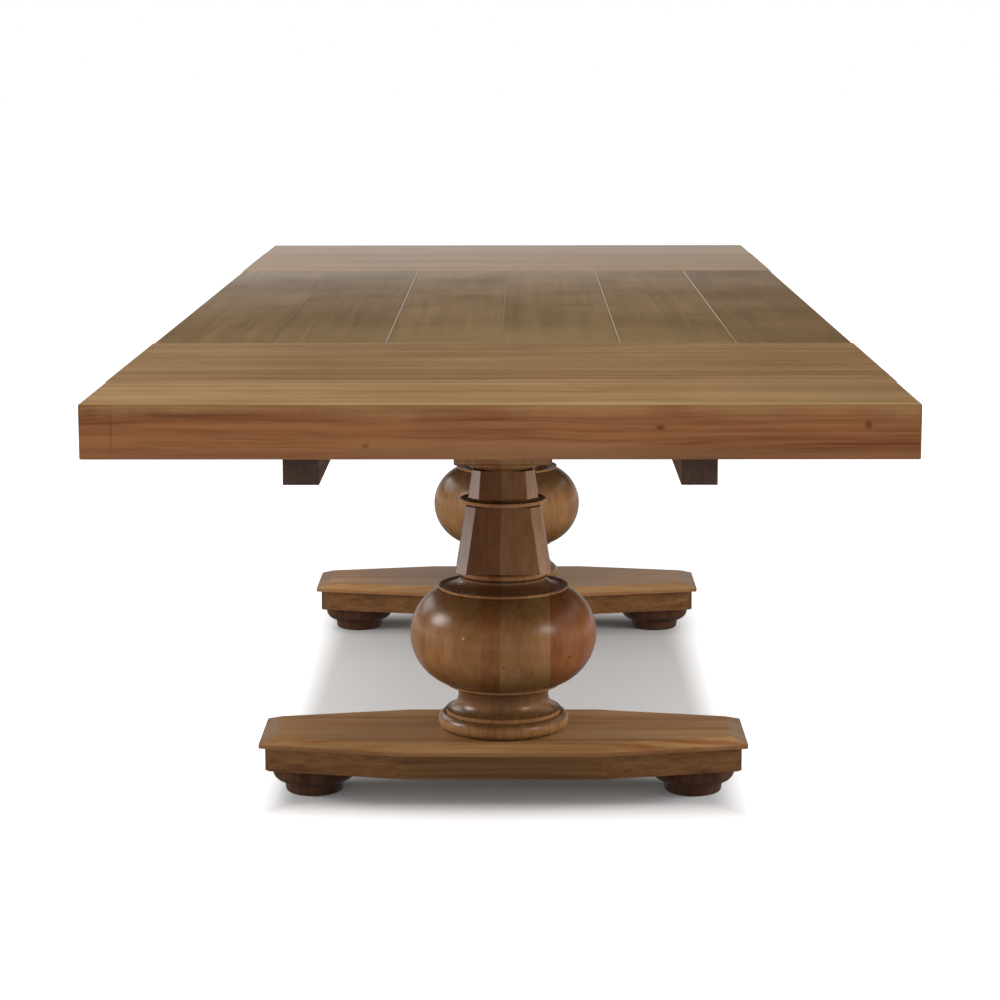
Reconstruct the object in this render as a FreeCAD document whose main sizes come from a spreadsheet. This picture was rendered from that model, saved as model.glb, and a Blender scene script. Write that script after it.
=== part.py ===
# Double pedestal extension dining table, shown drawn out with both leaves in place.
# Millimetres. X across the table, Y along it, Z up; origin on the floor under the middle of the top.
import FreeCAD, Part
import math
import os
from types import SimpleNamespace

import Sketcher

PLANK_COUNT = 6
QUARTERS = 4
FULL_TURN = 360
EASE_REACH = math.tan(math.pi / 8)
EASE_SLANT = EASE_REACH * math.sqrt(0.5)
ENDS = {"near": -1, "far": 1}
SIDES = {"left": -1, "right": 1}

# Driving dimensions
SIZES = {
    # Table top
    "board_thick": 30.0,
    "edge_height": 76.0,
    "edge_strip_thick": 45.0,
    "edge_strip_round": 2.0,
    "top_width": 1129.0,
    "end_depth": 255.2,
    "leaf_length": 495.2,
    "leaf_proud": 1.5,
    "panel_length": 1452.0,
    "panel_step": 0.8,
    "seam_gap": 0.8,
    "seam_bevel": 0.8,
    "plank_bevel": 1.4,
    "arris_round": 4.0,
    # Battens under the boards
    "batten_thick": 25.0,
    "batten_width": 60.0,
    "batten_bevel": 8.0,
    "batten_clearance": 1.5,
    "plank_batten_place": 300.0,
    # Fixed rails with their guide tongues, and the runners that slide on them
    "rail_inner": 300.0,
    "rail_width": 50.0,
    "rail_depth": 95.5,
    "rail_length": 1400.0,
    "runner_width": 50.0,
    "runner_length": 1500.0,
    "runner_setback": 88.0,
    "runner_clearance": 0.5,
    "lane_gap": 1.0,
    "tongue_height": 14.0,
    "tongue_reach": 12.0,
    "tongue_start": 90.0,
    "tongue_end": 690.0,
    "tongue_clearance": 0.4,
    "pull_out": 40.0,
    "stop_clearance": 0.5,
    # Pedestals
    "pedestal_place": 652.0,
    "bearer_length": 860.0,
    "bearer_width": 90.0,
    "bearer_depth": 49.0,
    "bearer_bevel": 24.0,
    "abacus_width": 160.0,
    "abacus_thick": 25.0,
    "abacus_bevel": 2.0,
    "capital_ring_height": 14.0,
    "capital_ring_top_radius": 64.0,
    "capital_ring_foot_radius": 50.0,
    "capital_ring_curve": 15.0,
    "upper_column_height": 45.0,
    "upper_column_head": 100.0,
    "upper_column_head_corner": 14.0,
    "upper_column_foot": 114.5,
    "upper_column_foot_corner": 18.0,
    "collar_height": 14.0,
    "collar_radius": 71.0,
    "collar_foot_radius": 66.0,
    "collar_neck_radius": 47.0,
    "collar_flare_rise": 1.5,
    "collar_flare_curve": 14.0,
    "collar_lip_height": 6.0,
    "collar_lip_thick": 2.4,
    "collar_dish_rise": 3.0,
    "collar_dish_curve": 14.0,
    "lower_column_height": 108.0,
    "lower_column_head": 122.0,
    "lower_column_head_corner": 17.0,
    "lower_column_foot": 156.0,
    "lower_column_foot_corner": 18.0,
    "column_ease": 3.0,
    # Bulb, heights from its foot
    "bulb_foot_radius": 99.0,
    "bulb_radius": 155.0,
    "bulb_equator": 82.0,
    "bulb_shoulder_radius": 104.5,
    "bulb_shoulder": 157.5,
    "quirk_depth": 3.5,
    "quirk_height": 1.2,
    "rim_radius": 107.0,
    "rim_height": 4.0,
    "rim_thick": 3.6,
    "dish_curve": 30.0,
    "bead_fillet_radius": 72.0,
    "bead_fillet": 174.0,
    "bead_fillet_height": 4.0,
    "bead_neck_radius": 67.0,
    "bead_curve": 7.2,
    "bead_height": 14.0,
    "bulb_height": 193.0,
    # Base turning, heights from its foot
    "torus_foot_radius": 99.0,
    "torus_head_radius": 100.0,
    "torus_height": 27.5,
    "torus_curve": 14.6,
    "base_fillet_radius": 95.5,
    "base_fillet_height": 6.0,
    "cove_radius": 93.5,
    "neck_radius": 75.0,
    "neck_rise": 58.0,
    "neck_flare_radius": 85.0,
    "turning_fillet_radius": 95.0,
    "turning_fillet_height": 4.0,
    "turning_height": 80.0,
    # Base cap and body
    "cap_half_length": 403.0,
    "cap_end_half": 90.0,
    "cap_middle_half": 142.0,
    "cap_knee": 162.0,
    "cap_lip": 6.5,
    "cap_rise": 9.0,
    "cap_slope": 26.0,
    "cap_clip": 4.0,
    "body_inset": 13.0,
    "body_end_inset": 9.0,
    "body_clip": 7.0,
    "body_height": 41.5,
    # Bun feet
    "foot_place": 318.0,
    "foot_height": 52.0,
    "foot_radius": 70.0,
    "foot_band": 15.5,
    "foot_ovolo_curve": 18.0,
    "foot_step_radius": 50.0,
    "foot_step": 17.0,
    "foot_step_height": 2.5,
    "foot_bowl_radius": 48.0,
    "foot_bowl_height": 7.0,
    "foot_bowl_curve": 6.0,
    "foot_sole_radius": 44.0,
    "tenon_radius": 15.0,
    "tenon_length": 24.0,
    "tenon_clearance": 0.1,
    # Tie rods and fasteners
    "tie_rod_radius": 6.0,
    "tie_rod_clearance": 0.3,
    "tie_rod_end": 4.0,
    "nut_width": 19.0,
    "nut_height": 10.0,
    "nut_flange_radius": 14.0,
    "nut_flange_thick": 2.5,
    "nut_clearance": 0.05,
    "nut_well_radius": 19.0,
    "nut_well_depth": 18.0,
    "rail_screw_radius": 4.0,
    "rail_screw_bite": 45.0,
    "rail_screw_head": 13.0,
    "rail_screw_head_height": 5.5,
    "rail_screw_spread": 50.0,
    "runner_screw_radius": 2.5,
    "runner_screw_bite": 20.0,
    "runner_screw_grip": 30.0,
    "runner_screw_head_radius": 5.0,
    "runner_screw_head_height": 3.5,
    "runner_screw_well_radius": 8.0,
    "runner_screw_first": 50.0,
    "runner_screw_pitch": 80.0,
    "screw_clearance": 0.1,
}


class Size:
    """A length and its formula over the cells of the sheet."""

    def __init__(self, value, formula):
        self.value = value
        self.formula = formula

    def __add__(self, other):
        return Size(self.value + value_of(other), f"({self.formula} + {formula_of(other)})")

    def __sub__(self, other):
        return Size(self.value - value_of(other), f"({self.formula} - {formula_of(other)})")

    def __mul__(self, other):
        return Size(self.value * value_of(other), f"({self.formula} * {formula_of(other)})")

    def __truediv__(self, other):
        return Size(self.value / value_of(other), f"({self.formula} / {formula_of(other)})")

    def __neg__(self):
        return self * -1


def value_of(number):
    return number.value if isinstance(number, Size) else float(number)


def formula_of(number):
    return number.formula if isinstance(number, Size) else f"({number})"


def make_sheet(document):
    sheet = document.addObject("Spreadsheet::Sheet", "sizes")
    for row, (alias, number) in enumerate(SIZES.items(), start=1):
        sheet.set(f"A{row}", alias)
        sheet.set(f"B{row}", str(number))
        sheet.setAlias(f"B{row}", alias)
    document.recompute()
    return SimpleNamespace(**{alias: Size(number, f"sizes.{alias}") for alias, number in SIZES.items()})


doc = FreeCAD.newDocument("dining_table")
dim = make_sheet(doc)
NONE = Size(0.0, "0")
nodes = []

# Levels from the floor up: each is the underside of the piece that it names
body_z = dim.foot_height
nut_seat_z = body_z + dim.nut_well_depth
cap_z = body_z + dim.body_height
turning_z = cap_z + dim.cap_lip + dim.cap_rise
bulb_z = turning_z + dim.turning_height
lower_column_z = bulb_z + dim.bulb_height
collar_z = lower_column_z + dim.lower_column_height
upper_column_z = collar_z + dim.collar_height
capital_z = upper_column_z + dim.upper_column_height
abacus_z = capital_z + dim.capital_ring_height
bearer_z = abacus_z + dim.abacus_thick
rail_z = bearer_z + dim.bearer_depth
runner_z = rail_z + dim.runner_clearance
panel_z = rail_z + dim.rail_depth
board_z = panel_z - dim.runner_clearance
top_z = board_z + dim.board_thick
edge_z = top_z - dim.edge_height

# Places along the table, from its middle
panel_end = dim.panel_length / 2
leaf_start = panel_end + dim.seam_gap
leaf_end = leaf_start + dim.leaf_length
end_start = leaf_end + dim.seam_gap
table_end = end_start + dim.end_depth
runner_end = table_end - dim.runner_setback
closing_travel = dim.leaf_length + dim.seam_gap

end_half = dim.top_width / 2
leaf_half = end_half + dim.leaf_proud
panel_half = end_half - dim.panel_step

bore_radius = dim.tie_rod_radius + dim.tie_rod_clearance
rail_outer = dim.rail_inner + dim.rail_width


def span(sign, inner, outer):
    """Low and high ends of a stretch from inner to outer, on one side of the middle."""
    return (inner, outer) if sign > 0 else (-outer, -inner)


def keep(piece, label):
    piece.Label = label
    nodes.append(piece)
    return piece


def block(name, x_span, y_span, z_span):
    box = doc.addObject("Part::Box", name)
    for side, axis, (low, high) in zip(("Length", "Width", "Height"), "xyz", (x_span, y_span, z_span)):
        box.setExpression(side, (high - low).formula)
        box.setExpression(f"Placement.Base.{axis}", low.formula)
    return box


def peg(name, x, y, z_span, radius):
    low, high = z_span
    cylinder = doc.addObject("Part::Cylinder", name)
    cylinder.setExpression("Radius", radius.formula)
    cylinder.setExpression("Height", (high - low).formula)
    place(cylinder, x, y, low)
    return cylinder


def hexagon(name, x, y, z_span, width):
    low, high = z_span
    prism = doc.addObject("Part::Prism", name)
    prism.Polygon = 6
    prism.setExpression("Circumradius", (width / math.sqrt(3)).formula)
    prism.setExpression("Height", (high - low).formula)
    place(prism, x, y, low)
    return prism


def place(piece, x, y, z):
    for axis, value in zip("xyz", (x, y, z)):
        piece.setExpression(f"Placement.Base.{axis}", value.formula)


def joined(name, pieces):
    fuse = doc.addObject("Part::MultiFuse", name)
    fuse.Shapes = pieces
    return fuse


def grouped(name, pieces):
    group = doc.addObject("Part::Compound", name)
    group.Links = pieces
    return group


def cut(name, base, tools):
    piece = doc.addObject("Part::Cut", name)
    piece.Base = base
    piece.Tool = grouped(f"{name}_cuts", tools)
    return piece


def new_body(name):
    return doc.addObject("PartDesign::Body", name)


def arc_geometry(start, end, radius, turn):
    """Circular arc between two points, under a half circle, turning left for 1 and right for -1."""
    chord = end - start
    half = chord.Length / 2
    left = FreeCAD.Vector(-chord.y, chord.x, 0).normalize()
    centre = (start + end) * 0.5 + left * (turn * math.sqrt(radius**2 - half**2))
    first, last = (start, end) if turn > 0 else (end, start)
    angles = [math.atan2(point.y - centre.y, point.x - centre.x) for point in (first, last)]
    if angles[1] < angles[0]:
        angles[1] += 2 * math.pi
    circle = Part.Circle(centre, FreeCAD.Vector(0, 0, 1), radius)
    return Part.ArcOfCircle(circle, *angles)


def bind(sketch, constraint, length):
    index = sketch.addConstraint(constraint)
    sketch.setExpression(f"Constraints[{index}]", length.formula)


def outline(body, plane, name, points, height=None):
    """Closed sketch through points (u, v) or (u, v, radius, turn), where an arc leaves the point."""
    sketch = body.newObject("Sketcher::SketchObject", name)
    support = next(feature for feature in body.Origin.OriginFeatures if feature.Role == plane)
    sketch.AttachmentSupport = (support, [""])
    sketch.MapMode = "FlatFace"
    if height is not None:
        sketch.setExpression("AttachmentOffset.Base.z", height.formula)
    corners = [FreeCAD.Vector(point[0].value, point[1].value, 0) for point in points]
    starts = []
    for index, point in enumerate(points):
        start, end = corners[index], corners[(index + 1) % len(points)]
        if len(point) > 2:
            sketch.addGeometry(arc_geometry(start, end, point[2].value, point[3]), False)
            starts.append(1 if point[3] > 0 else 2)
        else:
            sketch.addGeometry(Part.LineSegment(start, end), False)
            starts.append(1)
    for index, point in enumerate(points):
        following = (index + 1) % len(points)
        end_of_edge = 3 - starts[index]
        sketch.addConstraint(
            Sketcher.Constraint("Coincident", index, end_of_edge, following, starts[following])
        )
        for kind, axis, length in (("DistanceX", -2, point[0]), ("DistanceY", -1, point[1])):
            if length is NONE:
                sketch.addConstraint(Sketcher.Constraint("PointOnObject", index, starts[index], axis))
            else:
                bind(sketch, Sketcher.Constraint(kind, -1, 1, index, starts[index], length.value), length)
        if len(point) > 2:
            bind(sketch, Sketcher.Constraint("Radius", index, point[2].value), point[2])
    return sketch


def padded(body, sketch, length, symmetric=False):
    pad = body.newObject("PartDesign::Pad", f"{sketch.Name}_pad")
    pad.Profile = sketch
    pad.setExpression("Length", length.formula)
    if symmetric:
        pad.SideType = "Symmetric"
    doc.recompute()
    return pad


def turned(name, profile, x, y):
    """Piece turned on a lathe: profile points are radius and height."""
    body = new_body(name)
    sketch = outline(body, "XZ_Plane", f"{name}_profile", profile)
    turning = body.newObject("PartDesign::Revolution", f"{name}_turning")
    turning.Profile = sketch
    turning.ReferenceAxis = (sketch, ["V_Axis"])
    turning.Angle = FULL_TURN
    place(body, x, y, NONE)
    return body


def edges_where(feature, test):
    """Names of the feature's edges whose end points and middle all pass the test."""
    return [
        f"Edge{index}"
        for index, edge in enumerate(feature.Shape.Edges, start=1)
        if all(test(point) for point in (edge.CenterOfMass, *[vertex.Point for vertex in edge.Vertexes]))
    ]


def standing_edges(feature):
    """Names of the feature's edges that lead up from one level to another."""
    names = []
    for index, edge in enumerate(feature.Shape.Edges, start=1):
        low, high = edge.Vertexes[0].Point.z, edge.Vertexes[-1].Point.z
        if not near_to(low, high):
            names.append(f"Edge{index}")
    return names


def dressed(body, kind, name, feature, edges, prop, length):
    dressing = body.newObject(f"PartDesign::{kind}", name)
    dressing.Base = (feature, edges)
    dressing.setExpression(prop, length.formula)
    doc.recompute()
    return dressing


def near_to(number, level):
    return abs(number - level) < 0.01


def make_planks():
    plank_width = panel_half * 2 / PLANK_COUNT
    bevel = dim.plank_bevel
    arris = dim.arris_round
    for index in range(PLANK_COUNT):
        left = plank_width * index - panel_half
        right = left + plank_width
        first, last = index == 0, index == PLANK_COUNT - 1
        right_ease = arris if last else bevel
        left_ease = arris if first else bevel
        right_turn = (arris, 1) if last else ()
        left_turn = (arris, 1) if first else ()
        profile = [
            (left, panel_z),
            (right, panel_z),
            (right, top_z - right_ease, *right_turn),
            (right - right_ease, top_z),
            (left + left_ease, top_z, *left_turn),
            (left, top_z - left_ease),
        ]
        label = f"top_plank_{index + 1}"
        body = new_body(label)
        padded(body, outline(body, "XZ_Plane", f"{label}_section", profile), dim.panel_length, True)
        keep(body, label)


def edge_strip(label, sign, half_width, y_span, top):
    """Strip under a long edge of the top, its lower outer arris eased."""
    ease = dim.edge_strip_round
    inner = half_width - dim.edge_strip_thick
    low, high = y_span
    corners = [
        (inner, edge_z),
        (half_width - ease, edge_z, ease, 1),
        (half_width, edge_z + ease),
        (half_width, top),
        (inner, top),
    ]
    if sign < 0:
        corners = [
            (-inner, edge_z),
            (-inner, top),
            (-half_width, top),
            (-half_width, edge_z + ease, ease, 1),
            (-half_width + ease, edge_z),
        ]
    body = new_body(label)
    padded(body, outline(body, "XZ_Plane", f"{label}_section", corners), high - low, True)
    place(body, NONE, (low + high) / 2, NONE)
    keep(body, label)


def make_panel_strips():
    for side, sign in SIDES.items():
        edge_strip(f"panel_edge_strip_{side}", sign, panel_half, (-panel_end, panel_end), panel_z)


def board(label, half_width, y_span, eased_end):
    """Board with rounded outer arrises and bevelled seams; eased_end is its outer end, or None."""
    low, high = y_span
    plan = [(-half_width, low), (half_width, low), (half_width, high), (-half_width, high)]
    body = new_body(label)
    pad = padded(body, outline(body, "XY_Plane", f"{label}_plan", plan, board_z), dim.board_thick)
    top = top_z.value
    wide = half_width.value

    def on_outer_arris(point, other):
        return near_to(point.z, top) and other(point)

    rounded = edges_where(pad, lambda point: on_outer_arris(point, lambda at: near_to(at.x, wide)))
    rounded += edges_where(pad, lambda point: on_outer_arris(point, lambda at: near_to(at.x, -wide)))
    seams = [low.value, high.value]
    if eased_end is not None:
        seams.remove(eased_end.value)
        rounded += edges_where(
            pad, lambda point: on_outer_arris(point, lambda at: near_to(at.y, eased_end.value))
        )
        rounded += end_corners(pad, wide, eased_end.value)
    eased = dressed(body, "Fillet", f"{label}_arris", pad, rounded, "Radius", dim.arris_round)
    seam_edges = []
    for seam in seams:
        seam_edges += edges_where(
            eased, lambda point: on_outer_arris(point, lambda at: near_to(at.y, seam))
        )
    dressed(body, "Chamfer", f"{label}_seam", eased, seam_edges, "Size", dim.seam_bevel)
    return body


def end_corners(feature, half_width, outer):
    """Upright edges at the two corners of the table's end."""
    return edges_where(
        feature, lambda point: near_to(abs(point.x), half_width) and near_to(point.y, outer)
    )


def make_leaf(end, sign):
    y_span = span(sign, leaf_start, leaf_end)
    label = f"{end}_leaf_board"
    keep(board(label, leaf_half, y_span, None), label)
    for side, side_sign in SIDES.items():
        edge_strip(f"{end}_leaf_edge_strip_{side}", side_sign, leaf_half, y_span, board_z)


def make_end(end, sign):
    y_span = span(sign, end_start, table_end)
    outer = table_end if sign > 0 else -table_end
    label = f"{end}_end_board"
    blank = board(f"{label}_blank", end_half, y_span, outer)
    pilots = [
        peg(f"{label}_pilot_{side}_{index}", x, y, (board_z, pilot_top()), screw_hole())
        for side, index, x, y in runner_screw_places(end, sign)
    ]
    keep(cut(label, blank, pilots), label)
    strip_inner = table_end - dim.edge_strip_thick
    for side, side_sign in SIDES.items():
        side_span = span(sign, end_start, strip_inner)
        edge_strip(f"{end}_end_side_strip_{side}", side_sign, end_half, side_span, board_z)
    make_end_strip(end, sign, strip_inner)


def make_end_strip(end, sign, strip_inner):
    """Strip across the end of the table, under the end board's outer edge."""
    label = f"{end}_end_edge_strip"
    low, high = span(sign, strip_inner, table_end)
    outer = table_end.value * sign
    plan = [(-end_half, low), (end_half, low), (end_half, high), (-end_half, high)]
    body = new_body(label)
    pad = padded(body, outline(body, "XY_Plane", f"{label}_plan", plan, edge_z), board_z - edge_z)

    upright = end_corners(pad, end_half.value, outer)
    corners = dressed(body, "Fillet", f"{label}_corners", pad, upright, "Radius", dim.arris_round)

    def under_outer(point):
        beyond = abs(point.y) > strip_inner.value or near_to(abs(point.x), end_half.value)
        return near_to(point.z, edge_z.value) and beyond

    lower_edge = edges_where(corners, under_outer)
    dressed(body, "Fillet", f"{label}_arris", corners, lower_edge, "Radius", dim.edge_strip_round)
    keep(body, label)


def bevelled_bar(label, half_length, width, z_span, bevel, y):
    """Bar across the table with its lower ends bevelled."""
    low, high = z_span
    profile = [
        (-half_length + bevel, low),
        (half_length - bevel, low),
        (half_length, low + bevel),
        (half_length, high),
        (-half_length, high),
        (-half_length, low + bevel),
    ]
    body = new_body(label)
    padded(body, outline(body, "XZ_Plane", f"{label}_side", profile), width, True)
    place(body, NONE, y, NONE)
    return body


def runner_lane(end):
    """Inner and outer face of an end's runners, from the middle of the table."""
    if end == "near":
        outer = dim.rail_inner - dim.lane_gap
        return outer - dim.runner_width, outer
    inner = rail_outer + dim.lane_gap
    return inner, inner + dim.runner_width


def make_battens():
    for end, sign in ENDS.items():
        plank_half = runner_lane("near")[0] - dim.batten_clearance
        label = f"{end}_plank_batten"
        z_span = (panel_z - dim.batten_thick, panel_z)
        y = dim.plank_batten_place * sign
        keep(bevelled_bar(label, plank_half, dim.batten_width, z_span, dim.batten_bevel, y), label)
        batten_half = runner_lane(end)[0] - dim.batten_clearance
        label = f"{end}_leaf_batten"
        z_span = (board_z - dim.batten_thick, board_z)
        y = (leaf_start + leaf_end) / 2 * sign
        keep(bevelled_bar(label, batten_half, dim.batten_width, z_span, dim.batten_bevel, y), label)


def tongue_z_span(clearance):
    middle = (rail_z + panel_z) / 2
    return middle - dim.tongue_height / 2 - clearance, middle + dim.tongue_height / 2 + clearance


def make_rails():
    for side, sign in SIDES.items():
        label = f"fixed_rail_{side}"
        half = dim.rail_length / 2
        bar = block(f"{label}_bar", span(sign, dim.rail_inner, rail_outer), (-half, half), (rail_z, panel_z))
        faces = {
            "near": (dim.rail_inner - dim.tongue_reach, dim.rail_inner),
            "far": (rail_outer, rail_outer + dim.tongue_reach),
        }
        tongues = [
            block(
                f"{label}_{end}_tongue",
                span(sign, *faces[end]),
                span(ENDS[end], dim.tongue_start, dim.tongue_end),
                tongue_z_span(NONE),
            )
            for end in ENDS
        ]
        pilots = [
            peg(f"{label}_pilot_{index}", x, y, (rail_z, rail_pilot_top()), rail_screw_hole())
            for index, (x, y) in enumerate(rail_screw_places(sign))
        ]
        keep(cut(label, joined(f"{label}_blank", [bar, *tongues]), pilots), label)


def make_runners():
    for end, end_sign in ENDS.items():
        inner, outer = runner_lane(end)
        depth = dim.tongue_reach - dim.lane_gap + dim.tongue_clearance
        groove_x = (outer - depth, outer) if end == "near" else (inner, inner + depth)
        groove_y = (
            dim.tongue_start - dim.pull_out - dim.stop_clearance,
            dim.tongue_end + closing_travel + dim.stop_clearance,
        )
        for side, sign in SIDES.items():
            label = f"{end}_runner_{side}"
            y_span = span(end_sign, runner_end - dim.runner_length, runner_end)
            bar = block(f"{label}_bar", span(sign, inner, outer), y_span, (runner_z, board_z))
            groove = block(
                f"{label}_groove",
                span(sign, *groove_x),
                span(end_sign, *groove_y),
                tongue_z_span(dim.tongue_clearance),
            )
            tools = [groove]
            for screw_side, index, x, y in runner_screw_places(end, end_sign):
                if screw_side == side:
                    tools.append(peg(f"{label}_hole_{index}", x, y, (runner_z, board_z), screw_hole()))
                    well = (runner_z, runner_screw_seat())
                    tools.append(peg(f"{label}_well_{index}", x, y, well, dim.runner_screw_well_radius))
            keep(cut(label, bar, tools), label)


def runner_screw_places(end, sign):
    inner, outer = runner_lane(end)
    middle = (inner + outer) / 2
    places = []
    for side, side_sign in SIDES.items():
        for index in range(2):
            along = end_start + dim.runner_screw_first + dim.runner_screw_pitch * index
            places.append((side, index, middle * side_sign, along * sign))
    return places


def runner_screw_seat():
    return board_z - dim.runner_screw_grip


def pilot_top():
    return board_z + dim.runner_screw_bite + dim.screw_clearance


def screw_hole():
    return dim.runner_screw_radius + dim.screw_clearance


def make_runner_screws():
    for end, sign in ENDS.items():
        label = f"{end}_runner_screws"
        screws = []
        for side, index, x, y in runner_screw_places(end, sign):
            name = f"{label}_{side}_{index}"
            seat = runner_screw_seat()
            tip = board_z + dim.runner_screw_bite
            head_span = (seat - dim.runner_screw_head_height, seat)
            head = peg(f"{name}_head", x, y, head_span, dim.runner_screw_head_radius)
            shank = peg(f"{name}_shank", x, y, (seat, tip), dim.runner_screw_radius)
            screws.append(joined(name, [head, shank]))
        keep(grouped(label, screws), label)


def rail_screw_places(sign):
    middle = (dim.rail_inner + rail_outer) / 2 * sign
    half_spread = dim.rail_screw_spread / 2
    return [
        (middle, dim.pedestal_place * end_sign + half_spread * step)
        for end_sign in ENDS.values()
        for step in (-1, 1)
    ]


def rail_pilot_top():
    return rail_z + dim.rail_screw_bite + dim.screw_clearance


def rail_screw_hole():
    return dim.rail_screw_radius + dim.screw_clearance


def make_rail_screws():
    label = "rail_screws"
    screws = []
    for side, sign in SIDES.items():
        for index, (x, y) in enumerate(rail_screw_places(sign)):
            name = f"{label}_{side}_{index}"
            head_span = (bearer_z - dim.rail_screw_head_height, bearer_z)
            head = hexagon(f"{name}_head", x, y, head_span, dim.rail_screw_head)
            shank_span = (bearer_z, rail_z + dim.rail_screw_bite)
            shank = peg(f"{name}_shank", x, y, shank_span, dim.rail_screw_radius)
            screws.append(joined(name, [head, shank]))
    keep(grouped(label, screws), label)


def make_bearer(end, y):
    label = f"{end}_bearer"
    blank = bevelled_bar(
        f"{label}_blank", dim.bearer_length / 2, dim.bearer_width, (bearer_z, rail_z), dim.bearer_bevel, y
    )
    holes = [peg(f"{label}_bore", NONE, y, (bearer_z, rail_z), bore_radius)]
    for side, sign in SIDES.items():
        for index, (x, along) in enumerate(rail_screw_places(sign)):
            if along.value * y.value > 0:
                name = f"{label}_hole_{side}_{index}"
                holes.append(peg(name, x, along, (bearer_z, rail_z), rail_screw_hole()))
    keep(cut(label, blank, holes), label)


def make_capital(end, y):
    """Square abacus over a turned ring."""
    label = f"{end}_capital"
    body = new_body(f"{label}_blank")
    half = dim.abacus_width / 2
    ring = [
        (bore_radius, capital_z),
        (dim.capital_ring_foot_radius, capital_z, dim.capital_ring_curve, 1),
        (dim.capital_ring_top_radius, abacus_z),
        (bore_radius, abacus_z),
    ]
    plan = [(-half, -half), (half, -half), (half, half), (-half, half)]
    pad = padded(body, outline(body, "XY_Plane", f"{label}_plan", plan, abacus_z), dim.abacus_thick)

    def lower_edge(point):
        return near_to(point.z, abacus_z.value)

    dressed(body, "Chamfer", f"{label}_bevel", pad, edges_where(pad, lower_edge), "Size", dim.abacus_bevel)
    place(body, NONE, y, NONE)
    lower = turned(f"{label}_ring", ring, NONE, y)
    bore = peg(f"{label}_bore", NONE, y, (abacus_z, bearer_z), bore_radius)
    keep(joined(label, [cut(f"{label}_abacus", body, [bore]), lower]), label)


def clipped_square(width, corner):
    """Square with its corners cut off, and the edges left by the cuts eased with small arcs."""
    half = width / 2
    flat = half - corner
    ease = dim.column_ease
    reach = ease * EASE_REACH
    slant = ease * EASE_SLANT
    quarter = [
        (flat - reach, -half, ease, 1),
        (flat + slant, slant - half),
        (half - slant, -flat - slant, ease, 1),
        (half, reach - flat),
    ]
    points = []
    for _ in range(QUARTERS):
        points += quarter
        quarter = [(-along, across, *arc) for across, along, *arc in quarter]
    return points


def make_column(label, foot, head, z_span, y):
    """Tapered square column with its corners taken off, bored for the tie rod."""
    body = new_body(f"{label}_blank")
    low, high = z_span
    loft = body.newObject("PartDesign::AdditiveLoft", f"{label}_taper")
    lower = outline(body, "XY_Plane", f"{label}_foot", clipped_square(*foot), low)
    upper = outline(body, "XY_Plane", f"{label}_head", clipped_square(*head), high)
    loft.Profile = lower
    loft.Sections = [upper]
    loft.Ruled = True
    place(body, NONE, y, NONE)
    keep(cut(label, body, [peg(f"{label}_bore", NONE, y, z_span, bore_radius)]), label)


def make_columns(end, y):
    make_column(
        f"{end}_upper_column",
        (dim.upper_column_foot, dim.upper_column_foot_corner),
        (dim.upper_column_head, dim.upper_column_head_corner),
        (upper_column_z, capital_z),
        y,
    )
    make_column(
        f"{end}_lower_column",
        (dim.lower_column_foot, dim.lower_column_foot_corner),
        (dim.lower_column_head, dim.lower_column_head_corner),
        (lower_column_z, collar_z),
        y,
    )


def make_collar(end, y):
    """Thin flared ring between the two columns, dished on top round a short neck."""
    lip_z = collar_z + dim.collar_flare_rise
    rim_z = lip_z + dim.collar_lip_height
    profile = [
        (bore_radius, collar_z),
        (dim.collar_foot_radius, collar_z, dim.collar_flare_curve, -1),
        (dim.collar_radius, lip_z),
        (dim.collar_radius, rim_z),
        (dim.collar_radius - dim.collar_lip_thick, rim_z, dim.collar_dish_curve, -1),
        (dim.collar_neck_radius, rim_z + dim.collar_dish_rise),
        (dim.collar_neck_radius, upper_column_z),
        (bore_radius, upper_column_z),
    ]
    label = f"{end}_collar"
    keep(turned(label, profile, NONE, y), label)


def equator_curve(inset, rise):
    """Radius of an arc that stands upright at the equator and ends inset and rise away."""
    return (inset * inset + rise * rise) / (inset * 2)


def make_bulb(end, y):
    """Turned bulb with a dished rim and a bead on top."""
    equator_z = bulb_z + dim.bulb_equator
    shoulder_z = bulb_z + dim.bulb_shoulder
    quirk_radius = dim.rim_radius - dim.quirk_depth
    rim_z = shoulder_z + dim.quirk_height
    rim_top = rim_z + dim.rim_height
    fillet_z = bulb_z + dim.bead_fillet
    bead_z = fillet_z + dim.bead_fillet_height
    bead_middle = bead_z + dim.bead_height / 2
    bead_top = bead_z + dim.bead_height
    foot_curve = equator_curve(dim.bulb_radius - dim.bulb_foot_radius, dim.bulb_equator)
    shoulder_curve = equator_curve(
        dim.bulb_radius - dim.bulb_shoulder_radius, dim.bulb_shoulder - dim.bulb_equator
    )
    profile = [
        (bore_radius, bulb_z),
        (dim.bulb_foot_radius, bulb_z, foot_curve, 1),
        (dim.bulb_radius, equator_z, shoulder_curve, 1),
        (dim.bulb_shoulder_radius, shoulder_z),
        (quirk_radius, shoulder_z),
        (quirk_radius, rim_z),
        (dim.rim_radius, rim_z),
        (dim.rim_radius, rim_top),
        (dim.rim_radius - dim.rim_thick, rim_top, dim.dish_curve, -1),
        (dim.bead_fillet_radius, fillet_z),
        (dim.bead_fillet_radius, bead_z),
        (dim.bead_neck_radius, bead_z, dim.bead_curve, 1),
        (dim.bead_neck_radius + dim.bead_height / 2, bead_middle, dim.bead_curve, 1),
        (dim.bead_neck_radius, bead_top),
        (dim.bead_neck_radius, lower_column_z),
        (bore_radius, lower_column_z),
    ]
    label = f"{end}_bulb"
    keep(turned(label, profile, NONE, y), label)


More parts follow.
